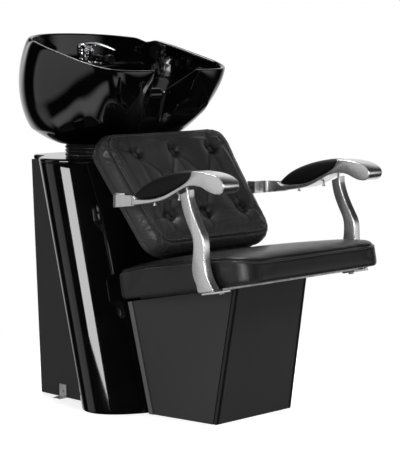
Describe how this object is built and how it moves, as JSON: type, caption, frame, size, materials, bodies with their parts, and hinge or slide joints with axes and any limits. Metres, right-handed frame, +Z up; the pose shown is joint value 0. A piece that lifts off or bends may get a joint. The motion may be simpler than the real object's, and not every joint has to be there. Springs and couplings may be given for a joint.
{
  "type": "shampoo backwash unit",
  "caption": "Salon shampoo backwash unit: upholstered seat with metal armrests on a tapered pedestal, and a tilting gloss basin with mixer tap on a leaning column.",
  "frame": {"origin": "floor level, on the symmetry plane, 27 mm behind the seat's reference point, at the middle of the seat frame's floor plate", "axes": "+Z up, -Y the way the client faces, +X the client's left"},
  "size_m": [0.608, 1.0166, 1.0132],
  "materials": {
    "gloss_shell": "high gloss",
    "grey_panel": "satin",
    "frame_steel": "satin",
    "zinc_steel": "zinc plated",
    "chrome": "polished",
    "black_trim": "semi-gloss",
    "dark_board": "matt",
    "seat_vinyl": "semi-gloss",
    "back_vinyl": "semi-gloss",
    "cast_aluminium": "brushed",
    "pad_foam": "matt",
    "nylon_white": "matt",
    "black_rubber": "satin",
    "basin_gloss": "high gloss",
    "hose_grey": "satin",
    "pipe_grey": "satin",
    "brass": "machined",
    "braided_hose": "braided"
  },
  "bodies": {
    "stand": {"column_shell": "gloss_shell", "column_top": "gloss_shell", "column_side_left": "grey_panel", "column_side_right": "grey_panel", "column_frame": "frame_steel", "door_pins": "zinc_steel", "base_front_panel": "grey_panel", "base_side_left": "grey_panel", "base_side_right": "grey_panel", "base_corner_trims": "black_trim", "base_rear_trims": "black_trim", "base_top_board": "dark_board", "seat_frame": "frame_steel", "seat_board": "dark_board", "seat_cushion": "seat_vinyl", "backrest_board": "dark_board", "backrest_cushion": "back_vinyl", "backrest_buttons": "back_vinyl", "backrest_bracket": "frame_steel", "armrest_left": "cast_aluminium", "armrest_right": "cast_aluminium", "armrest_pad_left": "pad_foam", "armrest_pad_right": "pad_foam", "armrest_post_left": "cast_aluminium", "armrest_post_right": "cast_aluminium", "strap_left": "cast_aluminium", "strap_right": "cast_aluminium", "cross_bar": "zinc_steel", "post_bolts": "zinc_steel", "pad_screws": "zinc_steel", "strap_bolts": "zinc_steel", "floor_bracket_left": "zinc_steel", "floor_bracket_right": "zinc_steel", "floor_bracket_screws": "zinc_steel", "lower_pivot_bracket": "zinc_steel", "pivot_pins": "zinc_steel", "pivot_washers": "nylon_white", "bellows": "black_rubber", "drain_hose": "hose_grey", "waste_pipe": "pipe_grey", "supply_hoses": "braided_hose", "hose_nuts": "brass"},
    "door": {"rear_door": "grey_panel", "door_knob": "chrome"},
    "basin": {"bowl": "basin_gloss", "neck_rest": "black_rubber", "upper_pivot_bracket": "zinc_steel", "drain_flange": "chrome", "drain_tailpiece": "chrome", "mixer_body": "chrome", "mixer_nut": "brass", "shower_holder": "chrome", "shower_hose": "braided_hose"},
    "tap_cap": {"mixer_cap": "chrome"},
    "tap_lever": {"lever": "chrome"},
    "handset": {"hand_shower": "chrome"},
    "drain_strainer": {"strainer": "chrome"}
  },
  "joints": [
    {"name": "basin_tilt", "type": "hinge", "parent": "stand", "child": "basin", "pos_m": [0, 0.3, 0.692], "axis": [1, 0, 0], "range_deg": [-10, 5], "deforming": ["bellows", "drain_hose", "supply_hoses"]},
    {"name": "mixer_turn", "type": "hinge", "parent": "basin", "child": "tap_cap", "pos_m": [0, 0.431, 0.96], "axis": [0, 0, 1], "range_deg": [-45, 45]},
    {"name": "lever_lift", "type": "hinge", "parent": "tap_cap", "child": "tap_lever", "pos_m": [0, 0.411, 0.974], "axis": [-1, 0, 0], "range_deg": [0, 22]},
    {"name": "shower_pull", "type": "slide", "parent": "basin", "child": "handset", "axis": [0, -0.9976, -0.0698], "range_m": [0, 0.12], "deforming": ["shower_hose"]},
    {"name": "strainer_lift", "type": "slide", "parent": "basin", "child": "drain_strainer", "axis": [0, 0, 1], "range_m": [0, 0.06]},
    {"name": "door_open", "type": "hinge", "parent": "stand", "child": "door", "pos_m": [-0.181, 0.379, 0], "axis": [0, 0.0506, 0.9987], "range_deg": [0, 110]}
  ]
}
